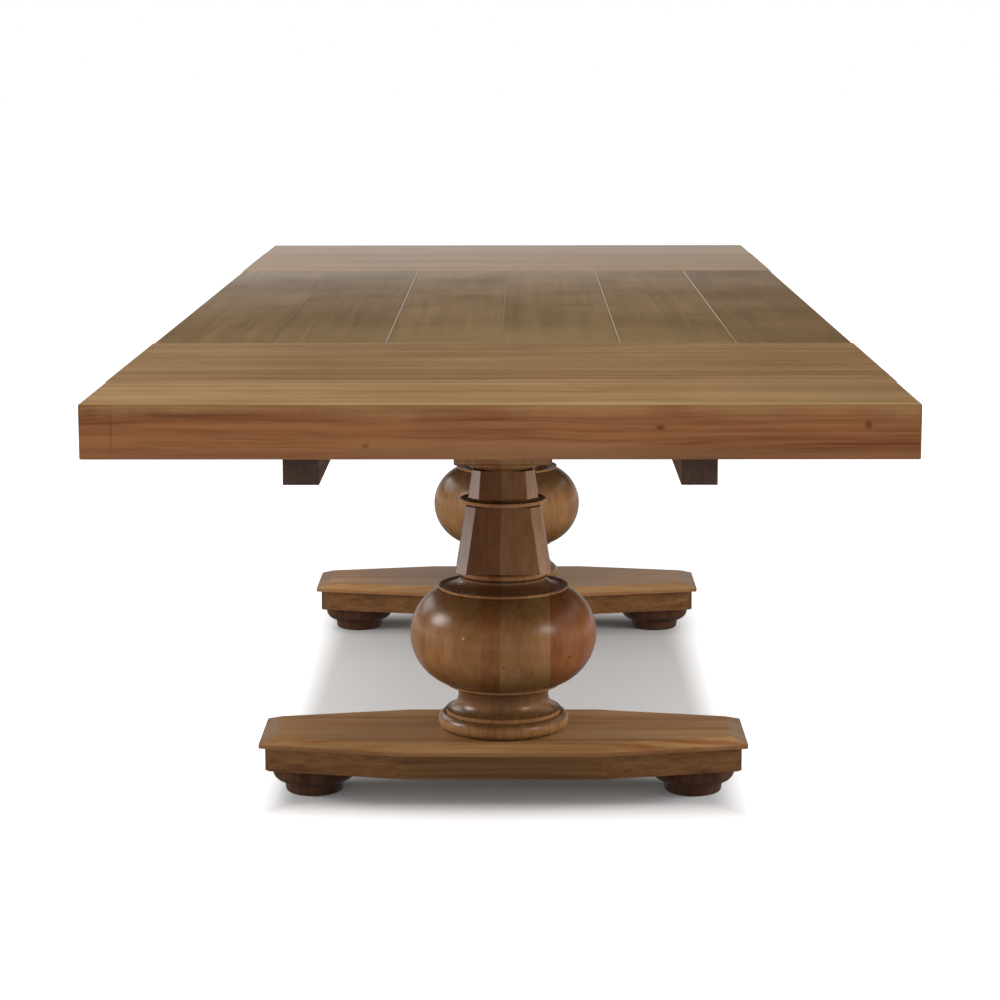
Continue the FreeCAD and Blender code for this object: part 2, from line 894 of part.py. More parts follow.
def make_base_turning(end, y):
    """Torus, fillet and cove under the bulb."""
    torus_top = turning_z + dim.torus_height
    fillet_top = torus_top + dim.base_fillet_height
    neck_z = turning_z + dim.neck_rise
    flare_z = bulb_z - dim.turning_fillet_height
    cove_curve = equator_curve(dim.cove_radius - dim.neck_radius, neck_z - fillet_top)
    flare_curve = equator_curve(dim.neck_flare_radius - dim.neck_radius, flare_z - neck_z)
    profile = [
        (bore_radius, turning_z),
        (dim.torus_foot_radius, turning_z, dim.torus_curve, 1),
        (dim.torus_head_radius, torus_top),
        (dim.base_fillet_radius, torus_top),
        (dim.base_fillet_radius, fillet_top),
        (dim.cove_radius, fillet_top, cove_curve, -1),
        (dim.neck_radius, neck_z, flare_curve, -1),
        (dim.neck_flare_radius, flare_z),
        (dim.turning_fillet_radius, flare_z),
        (dim.turning_fillet_radius, bulb_z),
        (bore_radius, bulb_z),
    ]
    label = f"{end}_base_turning"
    keep(turned(label, profile, NONE, y), label)


def base_plan(inset, end_inset):
    """Long plan of the base, widest in the middle and tapering to its ends."""
    length = dim.cap_half_length - end_inset
    at_end = dim.cap_end_half - inset
    at_middle = dim.cap_middle_half - inset
    knee = dim.cap_knee
    return [
        (-knee, -at_middle),
        (knee, -at_middle),
        (length, -at_end),
        (length, at_end),
        (knee, at_middle),
        (-knee, at_middle),
        (-length, at_end),
        (-length, -at_end),
    ]


def corner_clip(body, name, sign_x, sign_y):
    """Triangle over one corner of the base cap."""
    length, at_end, clip = dim.cap_half_length, dim.cap_end_half, dim.cap_clip
    reach = length + clip
    corner = [
        (length - clip, at_end + clip / 2),
        (length - clip, at_end * 2),
        (reach, at_end * 2),
        (reach, at_end - clip * 2),
    ]
    points = [(x * sign_x, along * sign_y) for x, along in corner]
    return outline(body, "XY_Plane", name, points, cap_z)


def make_base_cap(end, y):
    """Base cap with a sloped margin, clipped corners and a bore for the tie rod."""
    label = f"{end}_base_cap"
    body = new_body(f"{label}_blank")
    thick = dim.cap_lip + dim.cap_rise
    pad = padded(body, outline(body, "XY_Plane", f"{label}_plan", base_plan(NONE, NONE), cap_z), thick)
    margin = body.newObject("PartDesign::Chamfer", f"{label}_margin")
    margin.Base = (pad, edges_where(pad, lambda point: near_to(point.z, turning_z.value)))
    margin.ChamferType = "Two distances"
    margin.setExpression("Size", dim.cap_rise.formula)
    margin.setExpression("Size2", dim.cap_slope.formula)
    doc.recompute()
    for sign_x in SIDES.values():
        for sign_y in ENDS.values():
            name = f"{label}_clip_{sign_x + 1}_{sign_y + 1}"
            pocket = body.newObject("PartDesign::Pocket", f"{name}_cut")
            pocket.Profile = corner_clip(body, name, sign_x, sign_y)
            pocket.setExpression("Length", thick.formula)
            pocket.Reversed = True
            doc.recompute()
    place(body, NONE, y, NONE)
    bore = peg(f"{label}_bore", NONE, y, (cap_z, turning_z), bore_radius)
    keep(cut(label, body, [bore]), label)


def make_base_body(end, y):
    """Body under the cap, with sockets for the feet and a well for the tie rod's nut."""
    label = f"{end}_base_body"
    body = new_body(f"{label}_blank")
    plan = base_plan(dim.body_inset, dim.body_end_inset)
    pad = padded(body, outline(body, "XY_Plane", f"{label}_plan", plan, body_z), dim.body_height)
    end_x = dim.cap_half_length - dim.body_end_inset
    corners = [
        edge
        for edge in edges_where(pad, lambda point: near_to(abs(point.x), end_x.value))
        if edge in standing_edges(pad)
    ]
    dressed(body, "Chamfer", f"{label}_clip", pad, corners, "Size", dim.body_clip)
    place(body, NONE, y, NONE)
    socket_radius = dim.tenon_radius + dim.tenon_clearance
    socket_top = body_z + dim.tenon_length + dim.tenon_clearance
    tools = [
        peg(f"{label}_bore", NONE, y, (body_z, cap_z), bore_radius),
        peg(f"{label}_well", NONE, y, (body_z, nut_seat_z), dim.nut_well_radius),
    ]
    for side, sign in SIDES.items():
        x = dim.foot_place * sign
        tools.append(peg(f"{label}_socket_{side}", x, y, (body_z, socket_top), socket_radius))
    keep(cut(label, body, tools), label)


def make_feet(end, y):
    """Turned bun feet, each with a tenon into the base."""
    step_top = dim.foot_step + dim.foot_step_height
    profile = [
        (NONE, NONE),
        (dim.foot_sole_radius, NONE, dim.foot_bowl_curve, 1),
        (dim.foot_bowl_radius, dim.foot_bowl_height),
        (dim.foot_step_radius, dim.foot_step),
        (dim.foot_step_radius, step_top, dim.foot_ovolo_curve, 1),
        (dim.foot_radius, dim.foot_height - dim.foot_band),
        (dim.foot_radius, dim.foot_height),
        (dim.tenon_radius, dim.foot_height),
        (dim.tenon_radius, dim.foot_height + dim.tenon_length),
        (NONE, dim.foot_height + dim.tenon_length),
    ]
    for side, sign in SIDES.items():
        label = f"{end}_foot_{side}"
        keep(turned(label, profile, dim.foot_place * sign, y), label)


def flanged_nut(name, y, seat, direction):
    """Hexagon nut on a round flange; direction is the way it faces from its seat."""
    flange_span = span_from(seat, dim.nut_flange_thick, direction)
    hexagon_span = span_from(seat, dim.nut_height, direction)
    solid = joined(
        f"{name}_blank",
        [
            peg(f"{name}_flange", NONE, y, flange_span, dim.nut_flange_radius),
            hexagon(f"{name}_hexagon", NONE, y, hexagon_span, dim.nut_width),
        ],
    )
    thread = peg(f"{name}_thread", NONE, y, hexagon_span, dim.tie_rod_radius + dim.nut_clearance)
    return cut(name, solid, [thread])


def span_from(start, length, direction):
    return (start, start + length) if direction > 0 else (start - length, start)


def make_tie_rods():
    nuts = []
    for end, sign in ENDS.items():
        y = dim.pedestal_place * sign
        label = f"{end}_tie_rod"
        low = nut_seat_z - dim.nut_height - dim.tie_rod_end
        high = rail_z + dim.nut_height + dim.tie_rod_end
        keep(peg(label, NONE, y, (low, high), dim.tie_rod_radius), label)
        nuts.append(flanged_nut(f"{end}_lower_nut", y, nut_seat_z, -1))
        nuts.append(flanged_nut(f"{end}_upper_nut", y, rail_z, 1))
    keep(grouped("tie_rod_nuts", nuts), "tie_rod_nuts")


def make_pedestals():
    for end, sign in ENDS.items():
        y = dim.pedestal_place * sign
        make_bearer(end, y)
        make_capital(end, y)
        make_columns(end, y)
        make_collar(end, y)
        make_bulb(end, y)
        make_base_turning(end, y)
        make_base_cap(end, y)
        make_base_body(end, y)
        make_feet(end, y)


def make_table():
    make_planks()
    make_panel_strips()
    for end, sign in ENDS.items():
        make_leaf(end, sign)
        make_end(end, sign)
    make_battens()
    make_rails()
    make_runners()
    make_runner_screws()
    make_pedestals()
    make_rail_screws()
    make_tie_rods()
    doc.recompute()


def check_document():
    failed = [piece.Name for piece in doc.Objects if {"Invalid", "Error"} & set(piece.State)]
    failed += [node.Label for node in nodes if not node.Shape.Solids or not node.Shape.isValid()]
    if failed:
        raise RuntimeError(f"pieces that failed to build: {failed}")


def write_parts():
    os.makedirs("parts", exist_ok=True)
    for node in nodes:
        node.Shape.exportStep(f"parts/{node.Label}.step")


make_table()
check_document()
write_parts()
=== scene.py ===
import math
import bpy
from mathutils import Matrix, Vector

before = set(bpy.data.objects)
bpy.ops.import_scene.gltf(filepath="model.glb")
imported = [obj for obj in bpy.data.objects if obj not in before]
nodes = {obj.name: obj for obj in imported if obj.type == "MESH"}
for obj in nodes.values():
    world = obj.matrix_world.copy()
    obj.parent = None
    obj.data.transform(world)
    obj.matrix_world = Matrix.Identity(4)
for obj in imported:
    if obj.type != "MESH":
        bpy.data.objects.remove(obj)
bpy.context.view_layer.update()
print("frame loaded:", len(nodes), "nodes")


# Small helpers for building materials

def addNode(tree, kind, inputs, **props):
    made = tree.nodes.new("ShaderNode" + kind)
    for key, value in props.items():
        setattr(made, key, value)
    for key, value in inputs.items():
        if isinstance(value, bpy.types.NodeSocket):
            tree.links.new(value, made.inputs[key])
        else:
            made.inputs[key].default_value = value
    return made


def maths(tree, operation, first, second=0.0):
    return addNode(tree, "Math", {0: first, 1: second}, operation=operation).outputs[0]


def mixColour(tree, factor, first, second, blend="MIX"):
    inputs = {0: factor, 6: first, 7: second}
    return addNode(tree, "Mix", inputs, data_type="RGBA", blend_type=blend).outputs[2]


def remap(tree, value, fromSpan, toSpan, smooth=False):
    inputs = {0: value, 1: fromSpan[0], 2: fromSpan[1], 3: toSpan[0], 4: toSpan[1]}
    kind = "SMOOTHSTEP" if smooth else "LINEAR"
    return addNode(tree, "MapRange", inputs, interpolation_type=kind).outputs[0]


noiseSettings = {
    "roughness": 0.55,
    "middle": 0.5, "span": (0.3, 0.7),      # where most values of a noise lie
}


def noise(tree, place, scale, detail, distortion=0.0):
    stretched = addNode(tree, "Mapping", {"Vector": place, "Scale": scale}).outputs[0]
    inputs = {
        "Vector": stretched, "Scale": 1.0, "Detail": detail,
        "Roughness": noiseSettings["roughness"], "Distortion": distortion,
    }
    return addNode(tree, "TexNoise", inputs)


def remapNoise(tree, value, toSpan):
    return remap(tree, value, noiseSettings["span"], toSpan)


def colourRamp(tree, value, stops, steps=False):
    made = addNode(tree, "ValToRGB", {0: value})
    ramp = made.color_ramp
    ramp.interpolation = "CONSTANT" if steps else "LINEAR"
    while len(ramp.elements) < len(stops):
        ramp.elements.new(0.5)
    for element, (position, colour) in zip(ramp.elements, stops):
        element.position = position
        element.color = colour
    return made


def newMaterial(name):
    material = bpy.data.materials.new(name)
    material.use_nodes = True
    tree = material.node_tree
    tree.nodes.clear()
    return material, tree


def dress(material, *names):
    for name in names:
        slots = nodes[name].data.materials
        slots.clear()
        slots.append(material)


# Wood

grainSettings = {
    "bendDetail": 2.0, "waveDetail": 3.0, "blotchDetail": 3.0,
    "stripJump": 7.0,                 # how far apart in the grain two strips are cut
    "uprightSpan": (0.4, 0.9),        # upward share of the normal, from upright faces to level ones
}


def alongGrain(grain, along, across):
    return tuple(along if axis == grain else across for axis in "xyz")


def stripTint(tree, place, strips):
    across = addNode(tree, "SeparateXYZ", {0: place}).outputs[strips["axis"]]
    share = remap(tree, across, strips["span"], (0.0, 1.0))
    return colourRamp(tree, share, strips["tints"], steps=True)


def markMask(tree, place, mark):
    size = mark["size"]
    scale = tuple(1 / length for length in size)
    centre = tuple(-at / length for at, length in zip(mark["at"], size))
    local = addNode(tree, "Mapping", {"Vector": place, "Location": centre, "Scale": scale}).outputs[0]
    reach = addNode(tree, "VectorMath", {0: local}, operation="LENGTH").outputs["Value"]
    return remap(tree, reach, (1.0, mark.get("core", 0.3)), (0.0, mark["strength"]), smooth=True)


def endGrainShade(tree, wood):
    normal = addNode(tree, "NewGeometry", {}).outputs["Normal"]
    axis = alongGrain(wood["grain"], 1.0, 0.0)
    facing = addNode(tree, "VectorMath", {0: normal, 1: axis}, operation="DOT_PRODUCT").outputs["Value"]
    facing = maths(tree, "ABSOLUTE", facing)
    return remap(tree, facing, wood["endSpan"], (1.0, wood["endShade"]), smooth=True)


def woodTone(tree, place, wood):
    tone = 0.0
    for layer in wood["layers"]:
        scale = alongGrain(wood["grain"], layer["along"], layer["across"])
        grain = noise(tree, place, scale, layer["detail"], layer.get("warp", 0.0)).outputs[0]
        tone = maths(tree, "ADD", maths(tree, "MULTIPLY", grain, layer["share"]), tone)
    middle = noiseSettings["middle"]
    return remap(tree, tone, (middle - wood["contrast"], middle + wood["contrast"]), (0.0, 1.0))


def woodMaterial(name, wood):
    material, tree = newMaterial(name)
    held = addNode(tree, "TexCoord", {}).outputs["Object"]
    place = addNode(tree, "Mapping", {"Vector": held, "Location": wood["shift"]}).outputs[0]
    tint = None
    if "strips" in wood:
        tint = stripTint(tree, held, wood["strips"])
        jump = maths(tree, "MULTIPLY", tint.outputs[1], grainSettings["stripJump"])
        jump = addNode(tree, "CombineXYZ", {0: jump}).outputs[0]
        place = addNode(tree, "VectorMath", {0: place, 1: jump}, operation="ADD").outputs[0]
    bend = noise(tree, place, (wood["bendScale"],) * 3, grainSettings["bendDetail"]).outputs[1]
    bend = addNode(tree, "VectorMath", {0: bend, 1: wood["bend"]}, operation="MULTIPLY").outputs[0]
    place = addNode(tree, "VectorMath", {0: place, 1: bend}, operation="ADD").outputs[0]

    tone = woodTone(tree, place, wood)
    colour = colourRamp(tree, tone, wood["tones"]).outputs[0]
    if "heart" in wood:
        heart = wood["heart"]
        level = addNode(tree, "SeparateXYZ", {0: held}).outputs[2]
        scale = alongGrain(wood["grain"], heart["along"], 1.0)
        wave = noise(tree, held, scale, grainSettings["waveDetail"]).outputs[0]
        level = maths(tree, "ADD", level, remapNoise(tree, wave, (-heart["wave"], heart["wave"])))
        depth = remap(tree, level, heart["level"], (heart["least"], 1.0), smooth=True)
        normal = addNode(tree, "NewGeometry", {}).outputs["Normal"]
        upward = addNode(tree, "SeparateXYZ", {0: normal}).outputs[2]
        upright = remap(tree, upward, grainSettings["uprightSpan"], (1.0, 0.0))
        depth = maths(tree, "MULTIPLY", depth, upright)
        red = colourRamp(tree, tone, heart["tones"]).outputs[0]
        colour = mixColour(tree, depth, colour, red)
    blotch = noise(tree, place, (wood["blotchScale"],) * 3, grainSettings["blotchDetail"]).outputs[0]
    shade = remapNoise(tree, blotch, (1 - wood["blotch"], 1 + wood["blotch"]))
    shade = maths(tree, "MULTIPLY", shade, endGrainShade(tree, wood))
    colour = mixColour(tree, 1.0, colour, shade, "MULTIPLY")
    if tint:
        colour = mixColour(tree, 1.0, colour, tint.outputs[0], "MULTIPLY")
    for mark in wood.get("marks", []):
        colour = mixColour(tree, markMask(tree, held, mark), colour, mark["colour"])

    rough = remapNoise(tree, blotch, wood["roughness"])
    inputs = {"Base Color": colour, "Roughness": rough, "Specular IOR Level": wood["specular"]}
    shader = addNode(tree, "BsdfPrincipled", inputs)
    addNode(tree, "OutputMaterial", {"Surface": shader.outputs[0]})
    return material


plainWood = {
    "grain": "x",
    "shift": (0.0, 0.0, 0.0),
    "bend": (0.0, 0.012, 0.012), "bendScale": 1.8,
    "layers": [
        {"along": 0.5, "across": 22.0, "detail": 2.0, "share": 0.34, "warp": 0.2},
        {"along": 1.5, "across": 90.0, "detail": 4.0, "share": 0.42},
        {"along": 8.0, "across": 330.0, "detail": 2.0, "share": 0.24},
    ],
    "contrast": 0.11,
    "tones": [
        (0.0, (0.150, 0.070, 0.026, 1)),
        (0.5, (0.215, 0.108, 0.042, 1)),
        (1.0, (0.280, 0.150, 0.062, 1)),
    ],
    "blotch": 0.10, "blotchScale": 3.0,
    "endSpan": (0.30, 0.85), "endShade": 0.55,      # darker where the grain is cut across
    "roughness": (0.34, 0.44), "specular": 0.20,
}

# Coarser grain for the boards seen at a low angle
boardLayers = [
    {"along": 0.5, "across": 22.0, "detail": 1.0, "share": 0.36, "warp": 0.2},
    {"along": 1.5, "across": 60.0, "detail": 1.0, "share": 0.40},
    {"along": 4.0, "across": 130.0, "detail": 0.0, "share": 0.24},
]

topLevel, topReach = 0.762, 1.478       # height of the top and half its length
# pale arris along each end of the top: wear, and a painted highlight on the rounded edge
wornEdgeAndHighlight = {"colour": (0.46, 0.31, 0.16, 1), "strength": 0.5, "core": 0.4, "size": (0.7, 0.0035, 0.0035)}
# pale lines at the board seams are painted highlights on their eased edges
seamHighlight = {"colour": (0.55, 0.40, 0.22, 1), "strength": 0.75, "core": 0.3, "size": (0.8, 0.005, 0.003)}
darkLine = {"colour": (0.15, 0.055, 0.022, 1), "strength": 0.45, "core": 0.2, "size": (0.8, 0.008, 0.003)}
darkStep = 0.012                        # how far before a seam its dark line lies
boardSeams = [-1.2224, -0.7264, 0.7264, 1.2224]
seamLines = [seamHighlight | {"at": (0.0, seam, topLevel)} for seam in boardSeams]
seamLines += [darkLine | {"at": (0.0, seam - darkStep, topLevel)} for seam in boardSeams]

streak = {"colour": (0.16, 0.065, 0.026, 1), "strength": 0.6, "core": 0.1}
farStreaks = [
    streak | {"at": (place, along, topLevel), "size": (reach, 0.014, 0.003)}
    for place, along, reach in [
        (-0.25, 0.79, 0.42), (0.30, 0.84, 0.35), (-0.10, 0.97, 0.55), (0.35, 1.08, 0.30),
        (-0.35, 1.15, 0.30), (0.10, 1.27, 0.50), (-0.30, 1.33, 0.30), (0.38, 1.40, 0.25),
    ]
]

endWood = plainWood | {
    "shift": (0.3, 0.0, 0.47),
    "bend": (0.0, 0.012, 0.016), "bendScale": 3.0,
    "tones": [
        (0.0, (0.310, 0.172, 0.064, 1)),
        (0.5, (0.420, 0.247, 0.104, 1)),
        (1.0, (0.500, 0.310, 0.142, 1)),
    ],
    "heart": {
        "along": 9.0, "wave": 0.010, "level": (0.766, 0.741), "least": 0.50,
        "tones": [
            (0.0, (0.108, 0.032, 0.012, 1)),
            (0.4, (0.210, 0.073, 0.026, 1)),
            (1.0, (0.320, 0.131, 0.051, 1)),
        ],
    },
    "endShade": 0.72,
    "roughness": (0.11, 0.14), "specular": 0.05,
    "marks": [
        # three knots, then streaks and paler strips of the near edge
        {"at": (0.215, -topReach, 0.7295), "size": (0.010, 0.05, 0.006), "strength": 0.72, "core": 0.0,
         "colour": (0.060, 0.012, 0.004, 1)},
        {"at": (0.493, -topReach, 0.7335), "size": (0.008, 0.05, 0.009), "strength": 0.68, "core": 0.0,
         "colour": (0.070, 0.015, 0.005, 1)},
        {"at": (-0.180, -topReach, 0.704), "size": (0.008, 0.04, 0.006), "strength": 0.65, "core": 0.0,
         "colour": (0.075, 0.018, 0.006, 1)},
        {"at": (-0.424, -topReach, 0.746), "size": (0.085, 0.03, 0.005), "strength": 0.5, "core": 0.0,
         "colour": (0.080, 0.028, 0.012, 1)},
        {"at": (-0.521, -topReach, 0.724), "size": (0.003, 0.03, 0.050), "strength": 0.4, "core": 0.0,
         "colour": (0.080, 0.035, 0.018, 1)},
        # painted light: the foot of the near edge made paler to even out its shading
        {"at": (0.0, -topReach, 0.686), "size": (3.0, 0.05, 0.022), "strength": 0.38, "core": 0.2,
         "colour": (0.330, 0.170, 0.078, 1)},
        {"at": (0.02, -topReach, 0.698), "size": (0.34, 0.05, 0.024), "strength": 0.40, "core": 0.0,
         "colour": (0.360, 0.195, 0.088, 1)},
        {"at": (-0.38, -topReach, 0.756), "size": (0.24, 0.05, 0.011), "strength": 0.40, "core": 0.0,
         "colour": (0.420, 0.240, 0.105, 1)},
        # painted shade: the near edge darker towards its right end
        {"at": (0.40, -topReach, 0.756), "size": (0.26, 0.05, 0.022), "strength": 0.30, "core": 0.0,
         "colour": (0.200, 0.085, 0.034, 1)},
        # soft patches and a scratch on the flat of the end boards; the first patch is painted shade, the
        # near end board darker towards its right
        {"at": (0.47, -1.33, topLevel), "size": (0.28, 0.18, 0.02), "strength": 0.35, "core": 0.0,
         "colour": (0.220, 0.130, 0.050, 1)},
        {"at": (0.0, 1.36, topLevel), "size": (3.0, 0.26, 0.06), "strength": 0.25, "core": 0.4,
         "colour": (0.200, 0.140, 0.090, 1)},
        {"at": (0.128, 1.36, topLevel), "size": (0.0022, 0.14, 0.004), "strength": 0.6, "core": 0.2,
         "colour": (0.080, 0.040, 0.020, 1)},
        *[wornEdgeAndHighlight | {"at": (0.0, reach, topLevel)} for reach in (-topReach, topReach)],
        *farStreaks,
        *seamLines,
    ],
}

leafWood = plainWood | {
    "shift": (1.7, 0.6, 0.2),
    "layers": boardLayers,
    "tones": [
        (0.0, (0.247, 0.126, 0.041, 1)),
        (0.5, (0.331, 0.184, 0.066, 1)),
        (1.0, (0.402, 0.236, 0.095, 1)),
    ],
    "contrast": 0.15,
    "endShade": 0.72,
    "roughness": (0.11, 0.14), "specular": 0.05,
    "marks": farStreaks + seamLines,
}

# a pale line along each plank seam
seamPale = {"colour": (0.46, 0.36, 0.23, 1), "strength": 0.6, "core": 0.3, "size": (0.0018, 4.0, 0.0016)}
seamShade = {"colour": (0.09, 0.05, 0.02, 1), "strength": 0.30, "core": 0.3, "size": (0.0050, 4.0, 0.0040)}
plankSeams = [-0.37580, -0.18790, 0.0, 0.18790, 0.37580]

plankWood = plainWood | {
    "grain": "y",
    "bend": (0.012, 0.0, 0.012),
    "layers": boardLayers,
    "tones": [
        (0.0, (0.188, 0.113, 0.047, 1)),
        (0.5, (0.242, 0.149, 0.063, 1)),
        (1.0, (0.301, 0.193, 0.089, 1)),
    ],
    "contrast": 0.23,
    "blotch": 0.13, "blotchScale": 3.5,
    "roughness": (0.06, 0.09), "specular": 0.05,
    "strips": {
        "axis": 0, "span": (-0.56370, 0.56370),
        "tints": [
            (0.0, (0.97, 0.92, 0.82, 0.10)),
            (1 / 6, (0.95, 0.92, 0.84, 0.55)),
            (2 / 6, (1.06, 1.03, 0.95, 0.25)),
            (3 / 6, (1.05, 1.02, 0.94, 0.80)),
            (4 / 6, (1.06, 1.02, 0.93, 0.40)),
            (5 / 6, (0.97, 0.92, 0.84, 0.95)),
        ],
    },
    "marks": [
        # paler patch beside the near leaf
        {"at": (0.05, -0.66, topLevel), "size": (0.55, 0.32, 0.02), "strength": 0.60, "core": 0.0,
         "colour": (0.350, 0.232, 0.100, 1)},
        *[seamShade | {"at": (seam, 0.0, topLevel)} for seam in plankSeams],
        *[seamPale | {"at": (seam, 0.0, topLevel)} for seam in plankSeams],
        *seamLines,
    ],
}

sideWood = plainWood | {
    "grain": "y",
    "bend": (0.012, 0.0, 0.012),
    "shift": (0.0, 2.3, 0.9),
    "tones": [
        (0.0, (0.115, 0.042, 0.014, 1)),
        (0.4, (0.190, 0.078, 0.027, 1)),
        (1.0, (0.285, 0.130, 0.050, 1)),
    ],
}

pedestalStrips = {"axis": 0, "span": (-0.2, 0.2)}

turnedWood = plainWood | {
    "grain": "z",
    "bend": (0.012, 0.012, 0.0), "bendScale": 5.0,
    "shift": (0.4, 0.8, 0.0),
    "layers": [
        {"along": 3.0, "across": 30.0, "detail": 3.0, "share": 0.40, "warp": 0.3},
        {"along": 7.0, "across": 120.0, "detail": 3.0, "share": 0.38},
        {"along": 20.0, "across": 420.0, "detail": 2.0, "share": 0.22},
    ],
    "contrast": 0.20,
    "tones": [
        (0.0, (0.150, 0.060, 0.020, 1)),
        (0.5, (0.228, 0.104, 0.038, 1)),
        (1.0, (0.305, 0.152, 0.061, 1)),
    ],
    "blotch": 0.10, "blotchScale": 9.0,
    # end grain, and painted shade: faces across the grain darker, the bulbs' upper and lower faces among
    # them
    "endSpan": (0.20, 0.80), "endShade": 0.50,
    "strips": pedestalStrips | {
        "tints": [
            (0.0, (1.10, 1.08, 1.05, 0.15)),
            (0.4075, (0.95, 0.78, 0.70, 0.60)),
            (0.49, (1.14, 1.20, 1.22, 0.35)),
            (0.69, (0.88, 0.67, 0.58, 0.85)),
        ],
    },
    "roughness": (0.23, 0.31),
    "marks": [
        # specks and a pale joint line on the near bulb
        {"at": (-0.020, -0.806, 0.272), "size": (0.013, 0.02, 0.0016), "strength": 0.6,
         "colour": (0.150, 0.036, 0.018, 1)},
        {"at": (0.001, -0.803, 0.244), "size": (0.003, 0.01, 0.003), "strength": 0.7,
         "colour": (0.040, 0.016, 0.010, 1)},
        {"at": (0.108, -0.760, 0.252), "size": (0.003, 0.01, 0.003), "strength": 0.8,
         "colour": (0.040, 0.012, 0.010, 1)},
        {"at": (-0.064, -0.791, 0.289), "size": (0.0022, 0.01, 0.0022), "strength": 0.8,
         "colour": (0.60, 0.50, 0.36, 1)},
        {"at": (-0.004, -0.80, 0.24), "size": (0.0012, 0.2, 0.10), "strength": 0.45, "core": 0.0,
         "colour": (0.34, 0.22, 0.10, 1)},
    ],
}

# Painted shade in the recesses below and above each bulb
pedestalPlaces = (-0.652, 0.652)
recessShade = {"colour": (0.070, 0.027, 0.011, 1), "strength": 0.78, "core": 0.5}
recessSizes = [(0.172, (0.130, 0.130, 0.028)), (0.358, (0.150, 0.150, 0.016))]
turnedWood["marks"] += [
    recessShade | {"at": (0.0, place, level), "size": size}
    for place in pedestalPlaces for level, size in recessSizes
]

# Fewer and more even strips for the far bulb and the base turnings
evenWood = turnedWood | {
    "strips": pedestalStrips | {
        "tints": [
            (0.0, (1.00, 1.08, 1.12, 0.45)),
            (0.49, (0.96, 1.00, 0.98, 0.65)),
        ],
    },
}

ringWood = turnedWood | {
    "strips": pedestalStrips | {
        "tints": [
            (0.0, (1.13, 1.19, 1.22, 0.45)),
            (0.49, (1.10, 1.13, 1.11, 0.65)),
        ],
    },
}

columnWood = turnedWood | {
    "roughness": (0.19, 0.27), "specular": 0.26,
    "strips": pedestalStrips | {
        "tints": [
            (0.0, (0.50, 0.39, 0.34, 0.75)),
            (0.49, (0.84, 0.85, 0.90, 0.20)),
        ],
    },
    "marks": [
        # the joint line carried on up the column
        {"at": (-0.004, -0.75, 0.40), "size": (0.0012, 0.2, 0.09), "strength": 0.5, "core": 0.0,
         "colour": (0.34, 0.20, 0.10, 1)},
    ],
}

capWood = plainWood | {
    "shift": (0.0, 0.3, 1.2),
    "tones": [
        (0.0, (0.310, 0.130, 0.042, 1)),
        (0.5, (0.445, 0.236, 0.096, 1)),
        (1.0, (0.545, 0.318, 0.140, 1)),
    ],
    "blotch": 0.16,
    # end grain, and painted shade: the end bevels of the cap darker
    "endSpan": (0.12, 0.36), "endShade": 0.50,
    "roughness": (0.28, 0.38),
    "marks": [
        # dark lip under the sloped margin
        {"at": (0.0, 0.0, 0.0935), "size": (9.0, 9.0, 0.0085), "strength": 0.65, "core": 0.5,
         "colour": (0.160, 0.056, 0.020, 1)},
    ],
}

bodyWood = plainWood | {
    "shift": (0.7, 0.0, 0.6),
    "tones": [
        (0.0, (0.090, 0.036, 0.012, 1)),
        (0.5, (0.145, 0.064, 0.022, 1)),
        (1.0, (0.195, 0.094, 0.034, 1)),
    ],
}

# painted shade: the feet's tones are darkened for the shadow under the body
footWoodPaintedShade = plainWood | {
    "grain": "z",
    "tones": [
        (0.0, (0.040, 0.016, 0.008, 1)),
        (0.5, (0.062, 0.026, 0.013, 1)),
        (1.0, (0.085, 0.038, 0.019, 1)),
    ],
    "specular": 0.10,
}

frameWood = plainWood | {
    "grain": "y",
    "bend": (0.01, 0.0, 0.01),
    "tones": [
        (0.0, (0.080, 0.043, 0.029, 1)),
        (0.5, (0.115, 0.062, 0.041, 1)),
        (1.0, (0.157, 0.089, 0.059, 1)),
    ],
    "roughness": (0.5, 0.6),
}

steel = {"colour": (0.50, 0.50, 0.51, 1), "roughness": 0.38}


def steelMaterial():
    material, tree = newMaterial("zincSteel")
    inputs = {"Base Color": steel["colour"], "Metallic": 1.0, "Roughness": steel["roughness"]}
    shader = addNode(tree, "BsdfPrincipled", inputs)
    addNode(tree, "OutputMaterial", {"Surface": shader.outputs[0]})
    return material


woods = {
    "plankWood": plankWood, "endWood": endWood, "leafWood": leafWood, "sideWood": sideWood,
    "turnedWood": turnedWood, "evenWood": evenWood, "ringWood": ringWood, "columnWood": columnWood,
    "capWood": capWood, "bodyWood": bodyWood, "footWoodPaintedShade": footWoodPaintedShade, "frameWood": frameWood,
}
finishes = {name: woodMaterial(name, wood) for name, wood in woods.items()}
finishes["steel"] = steelMaterial()
pieceFinishes = [
    ("top_plank", "plankWood"),
    ("_screws", "steel"),
    ("_nuts", "steel"),
    ("tie_rod", "steel"),
    ("end_board", "endWood"),
    ("end_edge_strip", "endWood"),
    ("leaf_board", "leafWood"),
    ("strip", "sideWood"),
    ("base_cap", "capWood"),
    ("base_body", "bodyWood"),
    ("_column", "columnWood"),
    ("foot", "footWoodPaintedShade"),
    ("far_bulb", "evenWood"),
    ("base_turning", "ringWood"),
    ("runner", "frameWood"),
    ("rail", "frameWood"),
    ("batten", "frameWood"),
    ("bearer", "frameWood"),
    ("", "turnedWood"),
]
